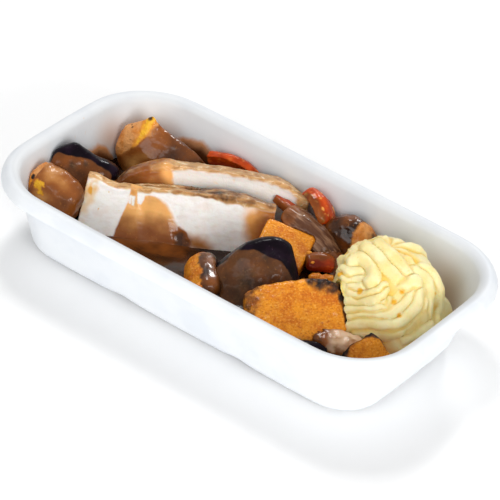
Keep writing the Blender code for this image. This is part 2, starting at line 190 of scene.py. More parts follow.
class Finish:
    """A material under construction: its shader, and the nodes that feed it."""

    def __init__(self, name, **constants):
        self.material = bpy.data.materials.new(name)
        self.material.use_nodes = True
        self.tree = self.material.node_tree
        self.shader = self.tree.nodes["Principled BSDF"]
        self.set(**constants)

    def node(self, kind, settings=None, inputs=(), output=0):
        """A new node: its settings are made first, then its sockets get their values or links."""
        node = self.tree.nodes.new("ShaderNode" + kind)
        for name, value in (settings or {}).items():
            setattr(node, name, value)
        pairs = inputs.items() if isinstance(inputs, dict) else enumerate(inputs)
        for key, value in pairs:
            self.feed(node.inputs[key], value)
        return Wire(self, node.outputs[output])

    def feed(self, socket, value):
        """Links a wire to a socket, or sets its value. Colours are given as a screen shows them, 0 to 255."""
        if isinstance(value, Wire):
            self.tree.links.new(value.socket, socket)
        elif socket.type == "RGBA":
            socket.default_value = srgb(*value)
        else:
            socket.default_value = value

    def set(self, **values):
        """Feeds the shader's sockets, named with underscores for spaces."""
        for name, value in values.items():
            self.feed(self.shader.inputs[name.replace("_", " ").title().replace("Ior", "IOR")], value)

    def share(self, name):
        """A value stored on the piece's points."""
        return self.node("Attribute", {"attribute_name": name}, output="Fac")

    def place(self, lay=None, stretch=(1, 1, 1)):
        """Where a point lies, in metres, along the axes of the piece if its lay is given."""
        where = self.node("TexCoord", output="Object")
        if lay is None:
            return where
        middle = tuple(c * MM for c in lay[0])
        inputs = {"Vector": where, "Location": middle, "Rotation": angles_of(lay)}
        turned = self.node("Mapping", {"vector_type": "TEXTURE"}, inputs)
        return self.node("Mapping", None, {"Vector": turned, "Scale": stretch})

    def grain(self, size, detail, place=None, distortion=0.0):
        """Noise from 0 to 1 with a grain of size mm."""
        inputs = {"Vector": place or self.place(), "Scale": 1 / (size * MM), "Detail": detail,
                  "Distortion": distortion}
        return self.node("TexNoise", None, inputs, "Fac")

    def blend(self, factor, one, other):
        """One colour changing to another as the factor goes from 0 to 1."""
        inputs = {0: factor, 6: one, 7: other}
        return self.node("Mix", {"data_type": "RGBA"}, inputs, 2)

    def layers(self, colour, *layers):
        """Lays colours one over another, each where the share that stands before it is 1."""
        for share, over in layers:
            colour = self.blend(share, colour, over)
        return colour

    def blots(self, middles, radius):
        """The strongest of several soft blots, each 1 at a point in mm and falling to 0 at the radius."""
        total = 0.0
        for middle in middles:
            inputs = {0: self.place(), 1: tuple(c * MM for c in middle)}
            away = self.node("VectorMath", {"operation": "DISTANCE"}, inputs, "Value")
            total = (1 - away.above(0.0, radius * MM)).at_least(total)
        return total

    def bump(self, height, depth):
        """Fine relief on the surface: height from 0 to 1 stands for depth mm."""
        inputs = {"Strength": 1.0, "Distance": depth * MM, "Height": height}
        self.set(normal=self.node("Bump", None, inputs))


# Soft marks inside the tray, partly gravy stains and partly painted shade and painted reflection of the
# food's colours on the walls: places in mm, radius, colour and strength
TRAY_STAINS_AND_SHADE = [
    ([(87, 47, 16), (95, 42, 14)], 19, (170, 142, 100), 0.4),
    ([(76, 52, 20)], 20, (214, 190, 178), 0.5),
    ([(-101, 27, 24), (-95, 40, 18)], 16, (196, 160, 136), 0.6),
    ([(-85, 49, 20)], 15, (190, 152, 128), 0.5),
    ([(-104, -20, 20), (-104, -5, 18)], 13, (188, 156, 134), 0.6),
]
# The upper edge of gravy smeared on the walls: along the far one by x, and up the left one by y
FAR_WALL = 30
FAR_SMEAR = ((-87, -83, -76, -68, -62, -58, -55, -51), (6, 19, 25, 27.5, 28, 26, 21, 6))
LEFT_SMEAR = ((2, 6, 10, 17, 22, 26, 31), (4, 17, 24, 24.5, 22, 18, 4))
SMEAR_END = -50
SMEAR_FADE = 24


def sauce_colour(finish, depth):
    """Gravy, from a thin tan film through brown to its dark depth."""
    return finish.layers(
        (244, 180, 102), (depth.above(0.0, 0.5), (144, 80, 30)), (depth.above(0.4, 1.0), (38, 18, 6)))


def finish_food(finish, colour, roughness, relief, relief_depth, wet=0.0):
    """Lays char and then gravy over a food's own colour, and sets its gloss and relief."""
    char = finish.share("char")
    sauce = finish.share("sauce")
    speckle = finish.grain(1.3, 3)
    charred = (char + (speckle - 0.5) * 0.6 * char.above(0.02, 0.3)).above(0.3, 0.9)
    burnt = finish.blend(finish.grain(2.6, 3).above(0.42, 0.68), (24, 15, 12), (84, 50, 28))
    depth = (finish.share("depth") + (finish.grain(5, 2) - 0.5) * 0.2).at_least(0.0).at_most(1.0)
    oil = finish.grain(1.5, 2).above(0.62, 0.75) * 0.3
    gravy = finish.blend(oil, sauce_colour(finish, depth), (204, 132, 58))
    colour = finish.layers(
        colour, (char.above(0.0, 0.6) * 0.6, (112, 58, 22)), (charred, burnt), (sauce, gravy))
    finish.set(base_color=colour, roughness=roughness * (1 - sauce) + 0.3 * sauce)
    finish.set(coat_weight=(sauce * 0.42).at_least(wet), coat_roughness=0.13)
    finish.bump(relief * (1 - sauce * 0.85) + finish.grain(2.2, 2) * 0.3 * sauce, relief_depth)


def chicken_finish(lay, painted_meat_shade):
    """Pale moist breast meat with fine fibres, greyed by painted shade as far as asked, and roasted skin
    along its edge.
    """
    finish = Finish(
        "roast_chicken", subsurface_weight=0.15, subsurface_scale=0.002, specular_ior_level=0.2)
    fibres = finish.grain(2.2, 3, finish.place(lay, (0.5, 1, 1.0)), 0.5)
    stain = finish.share("stain")
    meat = finish.layers(
        (244, 241, 237),
        (fibres.above(0.4, 0.75), (236, 230, 223)),
        (finish.grain(7, 3).above(0.52, 0.75) * 0.5, (234, 218, 208)),
        # Painted shade: the meat greyed where the slice lies in shade
        (painted_meat_shade, (206, 198, 190)),
        (stain.above(0.0, 0.6) * 0.75, (232, 188, 122)),
        (stain.above(0.5, 1.0), (222, 158, 58)))
    patches = finish.grain(2.6, 4, finish.place(lay, (0.6, 1, 1)), 0.8)
    roasted = finish.layers(
        (170, 118, 66),
        (patches.above(0.3, 0.5), (206, 160, 104)),
        (patches.above(0.54, 0.68), (234, 206, 164)))
    skin = finish.share("skin")
    relief = fibres * 0.5 + finish.grain(0.8, 2) * 0.5
    finish_food(finish, finish.blend(skin, meat, roasted), 0.3 + fibres * 0.2, relief, 0.25, skin * 0.22)
    return finish.material


def squash_finish(lay):
    """Roast squash: grainy orange flesh with pale threads, browner in patches, and tan rind."""
    finish = Finish("roast_squash", specular_ior_level=0.18)
    threads = finish.grain(0.9, 4, finish.place(lay, (0.85, 1, 1)), 0.3)
    patches = finish.grain(6, 3)
    flesh = finish.layers(
        (234, 146, 26),
        (patches.above(0.4, 0.68), (208, 112, 14)),
        (threads.above(0.5, 0.72) * 0.6, (248, 184, 78)),
        ((1 - threads).above(0.54, 0.7) * 0.6, (166, 78, 12)))
    rind = finish.layers(
        (222, 156, 92),
        (patches.above(0.4, 0.65), (204, 124, 50)),
        (finish.grain(1.4, 2).above(0.68, 0.74) * 0.6, (120, 70, 36)))
    stain = finish.share("stain")
    juicy = (stain + finish.grain(2.0, 3) - 0.5).above(0.5, 1.0) * stain.above(0.1, 0.4)
    colour = finish.layers(
        flesh,
        (finish.share("skin"), rind),
        (stain.above(0.05, 0.6), (224, 142, 44)),
        (juicy, (246, 184, 44)))
    finish_food(finish, colour, 0.36 + threads * 0.1, threads * 0.7 + finish.grain(0.7, 2) * 0.4, 0.65, 0.2)
    return finish.material


def aubergine_finish(lay):
    """Roast aubergine: near-black glossy skin flecked with painted glints, and soft flesh that has taken up
    the gravy.
    """
    finish = Finish("roast_aubergine", specular_ior_level=0.05)
    place = finish.place(lay, (0.7, 1, 1))
    streaks = finish.grain(1.3, 3, place)
    flesh = finish.layers(
        (64, 50, 40),
        (finish.grain(5, 3, place, 0.5).above(0.35, 0.68), (96, 70, 48)),
        (streaks.above(0.55, 0.75) * 0.35, (142, 112, 84)))
    peel = finish.layers(
        (12, 4, 12),
        (finish.grain(8, 2).above(0.4, 0.7), (26, 12, 26)),
        # Painted glints: pale flecks on the dark skin
        (finish.grain(0.9, 2).above(0.68, 0.78) * 0.35, (92, 74, 84)))
    skin = finish.share("skin")
    relief = streaks * 0.5 + finish.grain(3.5, 2) * 0.5
    finish_food(finish, finish.blend(skin, flesh, peel), 0.36 - skin * 0.08, relief, 0.3, skin * 0.16)
    return finish.material


def pepper_finish(lay):
    """Soft roast pepper: orange-red skin, browner and darker where it is glazed."""
    finish = Finish("roast_pepper", specular_ior_level=0.1)
    patches = finish.grain(5, 3, finish.place(lay, (0.5, 1, 1)))
    colour = finish.layers(
        (204, 76, 12),
        (patches.above(0.35, 0.65), (160, 50, 6)),
        (patches.above(0.6, 0.75), (226, 110, 36)),
        (finish.share("stain"), (240, 164, 76)),
        (finish.share("skin"), (112, 30, 8)))
    finish_food(finish, colour, 0.34, finish.grain(1.5, 3), 0.25, 0.25)
    return finish.material


def onion_finish(lay):
    """A translucent brown leaf of roast onion with fine pale veins along it, the palest of which are painted
    streak highlights.
    """
    finish = Finish("roast_onion", specular_ior_level=0.15)
    veins_and_streak_highlights = finish.grain(1.7, 3, finish.place(lay, (0.12, 1, 1)), 0.3)
    leaf = finish.layers(
        (92, 56, 36),
        (veins_and_streak_highlights.above(0.4, 0.58), (138, 98, 70)),
        # Painted streak highlights: the palest veins
        (veins_and_streak_highlights.above(0.54, 0.7) * 0.5, (186, 150, 120)),
        (finish.grain(7, 2).above(0.5, 0.8) * 0.5, (150, 108, 76)))
    finish_food(finish, leaf, 0.3, veins_and_streak_highlights, 0.22, 0.4)
    return finish.material


def mash_finish():
    """Buttery mashed potato: cream on its ridges, darker yellow in its creases, at its foot and at its top,
    partly its own colour and partly painted shade, with a few butter spots.
    """
    finish = Finish(
        "mashed_potato", subsurface_weight=0.2, subsurface_scale=0.002, specular_ior_level=0.3)
    crease_colour_and_shade = finish.share("crease_colour_and_shade")
    colour = finish.layers(
        (239, 228, 174),
        (finish.grain(8, 3).above(0.35, 0.7), (234, 216, 146)),
        # Darker yellow in the creases, at the foot and at the top: partly the mash's own colour, partly
        # painted shade
        (crease_colour_and_shade * 0.85, (230, 188, 72)),
        (finish.grain(1.6, 2).above(0.68, 0.76) * 0.35, (226, 178, 76)),
        (finish.share("spot"), (232, 174, 44)))
    finish.set(base_color=colour, roughness=0.45 - crease_colour_and_shade * 0.1)
    finish.bump(finish.grain(1.2, 3) * 0.6 + finish.grain(3, 2) * 0.4, 0.3)
    return finish.material


def gravy_finish():
    """The gravy in the tray: dark brown and glossy, tan where it is thin, with buttery fat by the mash."""
    finish = Finish("gravy", specular_ior_level=0.08, coat_weight=0.5, coat_roughness=0.14)
    depth = finish.share("depth") + (finish.grain(6, 3, distortion=0.8) - 0.5) * 0.25
    fat = finish.share("fat") * (finish.grain(3.5, 3) + 0.55).at_most(1.0)
    colour = finish.blend(fat, sauce_colour(finish, depth.at_least(0.0).at_most(1.0)), (178, 112, 20))
    finish.set(base_color=colour, roughness=0.26)
    finish.bump(finish.grain(5, 2), 0.25)
    return finish.material


def tray_finish():
    """Smooth matte white moulded tray, greyed inside with painted shade, and stained where gravy and juices
    have touched its inside, with painted shade and painted reflections of the food's colours in some of those
    stains.
    """
    finish = Finish("moulded_white", specular_ior_level=0.4)
    inside = finish.share("inside")
    # Soft marks inside the tray: partly stains, partly painted shade and painted reflection of the food's
    # colours
    stains_and_shade = [(finish.blots(places, radius) * inside * strength, stain_and_shade_colour)
             for places, radius, stain_and_shade_colour, strength in TRAY_STAINS_AND_SHADE]
    smear = finish.share("smear") + (finish.grain(7, 3, distortion=0.4) - 0.5) * 0.16
    specks = finish.grain(2.4, 2).above(0.7, 0.76) * finish.blots([(-107, 12, 38)], 26)
    colour = finish.layers(
        (225, 228, 231),
        (finish.grain(18, 3).above(0.4, 0.7), (218, 222, 227)),
        # Painted shade: the tray's inside faces greyed, as they lie in shade
        (inside * 0.4, (192, 193, 193)),
        *stains_and_shade,
        (smear.above(0.42, 0.56) * 0.9, (200, 132, 70)),
        (smear.above(0.52, 0.72), (98, 56, 28)),
        (specks * 0.4, (216, 186, 150)))
    finish.set(base_color=colour, roughness=0.52 - smear.above(0.5, 0.56) * 0.3)
    finish.bump(finish.grain(1.2, 2) * 0.3 + finish.grain(7, 2) * 0.7, 0.08)
    return finish.material


# Shaping the food

# How each piece or kind is meshed: voxel in mm, smoothing passes, and the rounding passes before them
PLAIN_MESHING = (0.6, 8, 0)
MESHING = {
    "chicken_front": (0.5, 6, 0),
    "chicken_back": (0.6, 5, 0),
    "chicken_scrap": (0.7, 8, 0),
    "squash_flat": (0.6, 3, 0),
    "squash_glazed": (0.6, 8, 2),
    "squash_left": (0.6, 8, 14),
    "squash_back_left": (0.6, 8, 34),
    "squash_back_right": (0.6, 8, 4),
    "aubergine_centre": (0.6, 8, 6),
    "aubergine_left": (0.6, 8, 6),
    "mash": (0.55, 10, 0),
    "pepper": (0.4, 6, 0),
    "onion": (0.4, 6, 0),
}
ROUNDING_VOXEL = 1.2
SWELL_PER_PASS = 0.03
SAME_POINT = 0.01


def kind_of(node):
    """The first word of a node's name: its kind of food and its slot."""
    return node.split("_")[0]


def own_object(name, data):
    """A new object in the scene."""
    piece = bpy.data.objects.new(name, data)
    bpy.context.scene.collection.objects.link(piece)
    return piece


def settled(piece):
    """Applies the piece's modifiers to its mesh."""
    graph = bpy.context.evaluated_depsgraph_get()
    mesh = bpy.data.meshes.new_from_object(piece.evaluated_get(graph))
    piece.modifiers.clear()
    piece.data = mesh
    return piece


def merged_copy(node):
    """A copy of a CAD node's mesh, with its loose triangles joined at their points."""
    bm = bmesh.new()
    bm.from_mesh(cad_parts[node].data)
    bmesh.ops.remove_doubles(bm, verts=bm.verts, dist=SAME_POINT * MM)
    return bm


def object_from(bm, name):
    """Turns a finished bmesh into a smooth object."""
    mesh = bpy.data.meshes.new(name)
    bm.to_mesh(mesh)
    bm.free()
    mesh.shade_smooth()
    return own_object(name, mesh)


def evened(piece, voxel, passes):
    """Adds a fine even mesh and smoothing passes to a piece."""
    remesh = piece.modifiers.new("even_mesh", "REMESH")
    remesh.mode = "VOXEL"
    remesh.voxel_size = voxel * MM
    smooth = piece.modifiers.new("soften", "SMOOTH")
    smooth.factor = 0.5
    smooth.iterations = passes


def refined(node):
    """A smooth, evenly meshed copy of a CAD node, ready for fine shaping.

    Rounding passes take off its corners first, and it swells by what they take."""
    voxel, passes, rounding = MESHING.get(node) or MESHING.get(kind_of(node), PLAIN_MESHING)
    piece = object_from(merged_copy(node), node + "_dressed")
    if rounding:
        evened(piece, ROUNDING_VOXEL, rounding)
        grow = piece.modifiers.new("swell", "DISPLACE")
        grow.strength = rounding * SWELL_PER_PASS * MM
        grow.mid_level = 0.0
    evened(piece, voxel, passes)
    return settled(piece)


def places_and_normals(mesh):
    """The places of a mesh's points in mm, and its normals there."""
    places, normals = np.empty((2, len(mesh.vertices) * 3))
    mesh.vertices.foreach_get("co", places)
    mesh.vertex_normals.foreach_get("vector", normals)
    return places.reshape(-1, 3) / MM, normals.reshape(-1, 3)


def keep(mesh, name, values):
    """Stores a value from 0 to 1 on each point, for the material to read."""
    layer = mesh.attributes.new(name, "FLOAT", "POINT")
    layer.data.foreach_set("value", np.clip(values, 0.0, 1.0).astype(np.float32))


def sculpt(piece, lay, rule):
    """Raises each point of a piece along its normal and stores the shares that the rule gives.

    The rule gets places in mm and normals along the piece's own axes."""
    places, normals = places_and_normals(piece.data)
    turn = np.array(Euler(angles_of(lay), "XYZ").to_matrix())
    rise, shares = rule((places - np.array(lay[0])) @ turn, normals @ turn)
    places += normals * rise[:, None]
    piece.data.vertices.foreach_set("co", (places * MM).ravel())
    for name, values in shares.items():
        keep(piece.data, name, values)
    piece.data.update()
    piece.data.shade_smooth()


def dress(piece, material, node):
    """Gives a finished piece its material and slot, and lets it stand for its node."""
    piece.data.materials.clear()
    piece.data.materials.append(material)
    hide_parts(node)
    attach(piece, "root")


def make_food(node, rule, material):
    """Shapes a copy of a CAD node by its rule, and gives it its finish."""
    piece = refined(node)
    sculpt(piece, LAYS[node], rule)
    dress(piece, material, node)


def film(reach, thickness=0.4, edge=1.4):
    """How thick a film of gravy stands, reach mm inside its outline: steep and rounded at its edge."""
    return thickness * np.sqrt(np.clip(reach / edge, 0.0, 1.0))


def spot(x, y, z, middle, radius, soft):
    """1 within the radius of a point, falling to 0 over the soft distance beyond it."""
    away = np.sqrt((x - middle[0]) ** 2 + (y - middle[1]) ** 2 + (z - middle[2]) ** 2)
    return ramp(radius + soft, radius, away)


# Chicken

# Outlines on the face of the front slice, as distances along it and up it in mm
POUR = [(-24.5, 34), (-24.2, 28), (-24.3, 23), (-26, 18), (-28, 12), (-30, 4), (-33, -3), (4, -3), (2, 6),
        (2, 12), (0, 15.5), (-2.8, 20.5), (-6, 24.8), (-12, 27.3), (-17, 26.6), (-18.6, 31)]
# Bare places between the drips at the top of the pour
DRIP_GAPS = (
    [(-23.9, 25.4), (-23.1, 25.4), (-23.2, 21.8), (-23.7, 22)],
    [(-22.6, 25.2), (-21.6, 25.2), (-21.7, 21.2), (-22.3, 21.4)],
    [(-20.6, 30), (-16.8, 29), (-17.4, 24.5), (-18.4, 22.2), (-19.7, 22.6)],
)
END_PATCH = [(27, 23), (28.5, 27), (33, 31), (38, 34), (50, 36), (50, -4), (34, -4), (31.5, 8), (28, 15)]
SMEAR = [(1.5, 12), (5, 14), (10, 13.5), (15, 13), (20.5, 7), (20, 0), (2, 0)]
HOLLOW = [(-1.5, 10), (0.5, 13), (4, 11.5), (6.8, 8.5), (6.8, 3), (0.5, 3)]
# The lower edge of the skin, its height in mm along each slice
FRONT_SKIN_LINE = (
    (-48, -39, -33, -26, -17, -6, 0, 11, 21, 31, 42),
    (32, 31.5, 30.5, 28.5, 27.5, 29.5, 29.2, 29.4, 28, 27.8, 27.2))
BACK_SKIN_LINE = ((-48, -30, -19, -10, 8, 26, 38, 44), (20, 24, 26.5, 28.5, 28.5, 27.5, 25, 20))
# How deep the gravy's colour is up the foot of the pour, by height in mm
POUR_DEPTH = ((0, 9, 12, 16, 20, 25), (0.54, 0.46, 0.37, 0.22, 0.06, 0.12))
POUR_FILM = 0.3
HOLLOW_DEPTH = 0.6
TOP_SINK = 2.2
ALONG_FIBRES = np.array((0.5, 1, 1.6))
ALONG_SKIN = np.array((0.35, 1, 1))


def front_slice(places, normals):
    """The slice in front: skin on top, the pour down its face, and a patch of gravy at its right end."""
    x, z = places[:, 0], places[:, 2]
    wobble = field(places, 3.5, 1)
    front = ramp(0.2, -0.3, normals[:, 1])
    upward = ramp(0.35, 0.7, normals[:, 2]) * (z > 20)
    skin_edge = np.interp(x, *FRONT_SKIN_LINE)
    skin = np.maximum(ramp(-0.9, 0.5, z - skin_edge + wobble * 0.9), upward)

    gap = np.maximum.reduce([reach_in(outline, x, z) for outline in DRIP_GAPS])
    pour = np.minimum(reach_in(POUR, x, z) + wobble * 0.4, -gap - 0.1)
    fade = 0.5 + 1.8 * ramp(-16, -8, x)
    soft_edged = np.maximum(reach_in(END_PATCH, x, z) + wobble * 1.2, reach_in(SMEAR, x, z) + wobble)
    hollow = ramp(-1.5, 2.2, reach_in(HOLLOW, x, z) + wobble * 1.2) * front
    reach = np.maximum.reduce([pour, 0.35 * soft_edged, 2.0 - z + wobble * 0.8, 6.0 * hollow - 0.4])
    reach = np.where(normals[:, 1] > 0.2, 6.0 - z + wobble, reach)
    sauce = ramp(-0.1, fade, reach) * (1 - skin * 0.8 * (pour < 0))
    foot = np.interp(z, *POUR_DEPTH) + 0.14 * field(places, 6, 6)
    depth = np.where(x < 3, foot, 0.34 - 0.012 * (z - 8)) + 0.25 * ramp(32, 42, x) + 0.36 * hollow

    streaks = field(places * ALONG_SKIN, 2.4, 7)
    browned = 0.08 + 0.5 * ramp(-12, 20, x) + 0.5 * streaks * ramp(-14, 0, x)
    char = skin * browned * ramp(27, 30, z + wobble)
    stain = 0.55 * ramp(5.0, 0.0, x + 45.5 + wobble * 1.5 - 0.28 * (z - 12)) * (0.7 + field(places, 4, 5))
    stain += 0.5 * ramp(0.1, 0.4, field(places, 3, 9)) * ramp(4.0, 1.0, np.hypot(x + 41, (z - 26) * 0.6))
    specks = 0.7 * ramp(0.64, 0.72, field(places, 1.9, 11)) * ramp(-24, -32, x)

    lumps = fractal(places, 3.4, 2)
    fibres = field(places * ALONG_FIBRES, 2.2, 3)
    rise = skin * (0.3 * lumps + 0.1) + (1 - skin) * (0.07 * fibres + 0.2 * field(places, 9, 4))
    rise -= TOP_SINK * ramp(0.35, 0.8, normals[:, 2]) * ramp(-27, -19, x) * ramp(16, 4, x) * (z > 24)
    rise += film(reach, POUR_FILM, 1.0 + 2 * fade) * front - HOLLOW_DEPTH * hollow
    return rise, {"skin": skin, "sauce": sauce, "depth": depth, "char": char, "stain": stain + specks}


def back_slice(places, normals):
    """The slice behind: skin on top and round its right end, and gravy over its left end."""
    x, z = places[:, 0], places[:, 2]
    wobble = field(places, 3.5, 21)
    upward = ramp(0.35, 0.7, normals[:, 2]) * (z > 18)
    skin_edge = np.interp(x, *BACK_SKIN_LINE)
    above_line = ramp(-0.9, 0.7, z - skin_edge + wobble * 0.9)
    skin = np.maximum.reduce([above_line, upward, ramp(41, 43, x + wobble)])
    reach = np.maximum(-16.5 - x - 0.25 * (z - 25) + wobble * 1.5, 4.0 - z + wobble)
    sauce = ramp(-0.2, 1.6, reach) * (1 - 0.5 * skin * ramp(-0.4, 0.6, field(places, 4, 24)))
    depth = 0.28 + 0.4 * ramp(-18, -40, x) + 0.3 * field(places, 8, 25)
    char = skin * (0.08 + 0.16 * ramp(-18, -6, x) + 0.2 * field(places, 5, 27)) * ramp(46, 30, x)
    stain = ramp(0.45, 0.6, field(places, 2.4, 28)) * 0.25
    fibres = field(places * ALONG_FIBRES, 2.2, 23)
    rise = skin * (0.3 * fractal(places, 3.4, 22) + 0.2) + (1 - skin) * (0.08 * fibres) + film(reach)
    return rise, {"skin": skin, "sauce": sauce, "depth": depth, "char": char, "stain": stain}


def chicken_scrap(places, _normals):
    """A shred of meat, soaked in gravy and deepest at its left end."""
    x, z = places[:, 0], places[:, 2]
    lumps = fractal(places, 4, 31)
    soaked = ramp(0.0, 0.6, lumps) * 0.4 + ramp(2, -4, z) * 0.6
    sauce = 0.45 + np.maximum(ramp(-2, -8, x + lumps * 2) * 0.9, soaked)
    depth = 0.32 + 0.3 * ramp(0, -8, x) + 0.2 * lumps
    zero = np.zeros(len(places))
    shares = {"skin": zero, "sauce": sauce, "depth": depth, "char": zero, "stain": 0.4 + 0.2 * lumps}
    return 0.6 * lumps, shares


# The rule for each piece of chicken, and how much painted shade greys its meat
CHICKEN = {
    "chicken_front": (front_slice, 0.0),
    "chicken_back": (back_slice, 0.5),
    "chicken_scrap": (chicken_scrap, 0.0),
}


def make_chicken():
    for node, (rule, painted_meat_shade) in CHICKEN.items():
        make_food(node, rule, chicken_finish(LAYS[node], painted_meat_shade))


# Squash

def squash_rule(seed, rough, char=None, sauce=None, depth=0.5, stain=None, rind=None):
    """Makes the rule for a piece of squash. Each of the last five is a function of x, y and z, or nothing.

    sauce gives how far a place lies inside the gravy, in mm, and the others give shares."""
    def rule(places, _normals):
        x, y, z = places.T
        zero = np.zeros(len(places))
        lumps = fractal(places, 6, seed)
        fine = field(places, 1.5, seed + 3)
        burnt = char(x, y, z) if char else zero
        burnt = burnt + 0.4 * field(places, 2.5, seed + 4) * ramp(0.02, 0.3, burnt)
        reach = sauce(x, y, z) + 1.5 * fractal(places, 5, seed + 5) if sauce else zero - 9
        deep = (depth(x, y, z) if callable(depth) else depth) + 0.25 * field(places, 7, seed + 6)
        covered = ramp(-0.3, 1.0, reach)
        shares = {
            "char": burnt, "sauce": covered, "depth": deep, "stain": stain(x, y, z) if stain else zero,
            "skin": rind(x, y, z) if rind else zero}
        rise = rough * (0.7 * lumps + 0.4 * fine * (1 - covered)) + film(reach)
        return rise + 0.25 * ramp(0.3, 0.8, burnt) * field(places, 1.6, seed + 7), shares
    return rule


# The bright patch on the piece at the left: places in mm and radii
BRIGHT_BLOBS = [((-4.0, -9.0, 0.8), 1.4), ((-5.6, -8.8, 2.4), 1.12)]
# The burnt line along the top of the front piece: its height by distance along it, in mm
BURNT_LINE = ((0, 4, 7, 11, 15, 18, 20, 21.5, 24), (17, 13, 10.5, 9.5, 9.5, 8, 3, -4, -9))
# The bright streak on the piece at the back left: its middle and half its width in mm, by height
STREAK_MIDDLE = ((4, 8, 12, 20), (-13.4, -12.6, -12.0, -12.4))
STREAK_HALF_WIDTH = ((3, 6, 10, 14, 20), (0.0, 0.5, 1.2, 2.0, 2.4))
# How high gravy covers that piece, in mm, by distance along it
COVERED_HEIGHT = ((-23, -20, -16, -12.5, -11, -10, -8, -5, 25), (-9, -7, 0.5, 4.5, 9, 12.7, 17, 28, 30))


def bright_patch(x, y, z):
    """The bright patch, uneven in outline, on the piece at the left."""
    blobs = [spot(x, y, z, middle, radius, 3.0) for middle, radius in BRIGHT_BLOBS]
    patch = np.maximum.reduce(blobs)
    return patch + 0.8 * field(np.stack((x, y, z), axis=1), 2.0, 55) * ramp(0.0, 0.5, patch)


def front_squash_char(x, y, z):
    """Burnt along the top right and down the right edge, and browned at the left tip and below."""
    top = 0.85 * ramp(-3.8, 3.2, z - np.interp(x, *BURNT_LINE) - 0.8 + 0.3 * y)
    tip = 0.42 * ramp(-15.5, -21, x - 0.3 * z)
    below = 0.4 * ramp(-6.5, -9.5, z + 0.012 * x * x)
    return np.maximum.reduce([top, tip, below])


def left_streak(x, _y, z):
    """The bright wet streak that runs down from the peak of the piece at the back left."""
    beside = np.abs(x - np.interp(z, *STREAK_MIDDLE))
    return ramp(3.0, -1.6, beside - np.interp(z, *STREAK_HALF_WIDTH))


def left_gravy(x, _y, z):
    """Gravy covers the foot and the whole right side of that piece, and thins out upwards."""
    return 0.4 * (np.interp(x, *COVERED_HEIGHT) - z)


def left_specks(x, y, z):
    """Three burnt specks, by the peak and at the left of that piece."""
    by_peak = spot(x, y, z, (-12.3, 1.2, 17.4), 0.7, 1.3)
    return by_peak + spot(x, y, z, (-20.5, 0, 10.5), 0.5, 0.9) + spot(x, y, z, (-19, -1.5, 10), 0.3, 0.8)


def back_right_char(x, _y, z):
    """A burnt band across the top, and browning at the right end."""
    return 1.1 * ramp(4.5, 2.5, np.abs(x + 0.5)) * ramp(5.5, 8.5, z) + 0.55 * ramp(8, 12, x)


def right_squash_char(x, y, z):
    """Burnt at the peak, at the left tip and along the back edge."""
    return ramp(9.5, 14.5, z) + ramp(-7.0, -10.5, x) + 0.8 * ramp(-0.6, 1.2, y) * ramp(2, 7, z)


def glaze_reach(x, y, z):
    """How far inside the glaze a place on the glazed piece lies, in mm."""
    return np.minimum(0.9 * (y + 5.2) + 0.25 * (z - 5.5), x + 11.5)


SQUASH = {
    "squash_front": squash_rule(41, 0.6, char=front_squash_char, sauce=lambda x, y, z: -9.5 - z),
    "squash_flat": squash_rule(45, 0.3, sauce=lambda x, y, z: -6.0 - z),
    "squash_glazed": squash_rule(
        49, 0.3, sauce=glaze_reach, depth=lambda x, y, z: 0.76 + 0.2 * ramp(0, 5, y)),
    "squash_left": squash_rule(
        53, 0.7,
        char=lambda x, y, z: 1.2 * spot(x, y, z, (-11, -8, 3), 0.8, 1.0),
        sauce=lambda x, y, z: 4.0 - 6.5 * bright_patch(x, y, z) - 7 * ramp(-7, -12, x),
        depth=lambda x, y, z: 0.38 + 0.22 * ramp(-4, 12, x) + 0.2 * ramp(2, -8, z),
        stain=bright_patch,
        rind=lambda x, y, z: ramp(1, 5, z)),
    "squash_back_left": squash_rule(
        57, 0.6,
        char=left_specks,
        sauce=left_gravy,
        depth=lambda x, y, z: 0.4 + 0.24 * ramp(-10, 8, x),
        stain=left_streak,
        rind=lambda x, y, z: ramp(-6, -8, x)),
    "squash_back_right": squash_rule(
        61, 0.6,
        char=back_right_char,
        sauce=lambda x, y, z: 5.0 - x,
        depth=0.85,
        rind=lambda x, y, z: 0.8 * ramp(3, 6, x)),
    "squash_crumb": squash_rule(65, 1.6),
    "squash_right": squash_rule(69, 0.5, char=right_squash_char, sauce=lambda x, y, z: -6.0 - z),
}


# Aubergine

def aubergine_rule(seed, skin_line, sauce_level, sauce_depth):
    """Makes the rule for a piece of aubergine: skin_line gives how far a point lies into the skin."""
    def rule(places, _normals):
        skin = ramp(-0.25, 0.35, skin_line(*places.T) + 0.35 * field(places, 3, seed + 1))
        soft = fractal(places, 8, seed)
        sauce = sauce_level * (1 - skin) * ramp(-0.9, -0.1, soft)
        depth = sauce_depth + 0.12 * field(places, 6, seed + 2)
        rise = (1 - skin) * (0.45 * soft + 0.2) + skin * 0.15 * field(places, 5, seed + 3)
        return rise, {"skin": skin, "sauce": sauce, "depth": depth, "char": np.zeros(len(places))}
    return rule


# The lower edge of the skin on the piece in the middle, its height in mm along the piece
PEEL_LINE = (
    (-21, -15, -10, -6, -1, 3, 6, 9, 14, 16, 17, 21),
    (6, 4.5, 8.5, 11, 12, 12, 10, 8, 5, 1, -2, -16))


def centre_peel(x, y, z):
    """How far into the skin a place on the middle piece lies: above its line, and all its back."""
    return np.maximum(z - np.interp(x, *PEEL_LINE), y - 4)


def left_peel(x, y, z):
    """How far into the skin a place on the left piece lies: its back, its right end and its top."""
    return np.maximum.reduce([y + 0.6 + 0.1 * (x + 14), x - 12.6, z - 5.6 - 0.5 * ramp(2, 8, x)])


AUBERGINE = {
    "aubergine_centre": aubergine_rule(81, centre_peel, 0.6, 0.75),
    "aubergine_left": aubergine_rule(85, left_peel, 0.9, 0.7),
    "aubergine_peel": aubergine_rule(89, lambda x, y, z: z + 1.5, 0.4, 0.7),
}


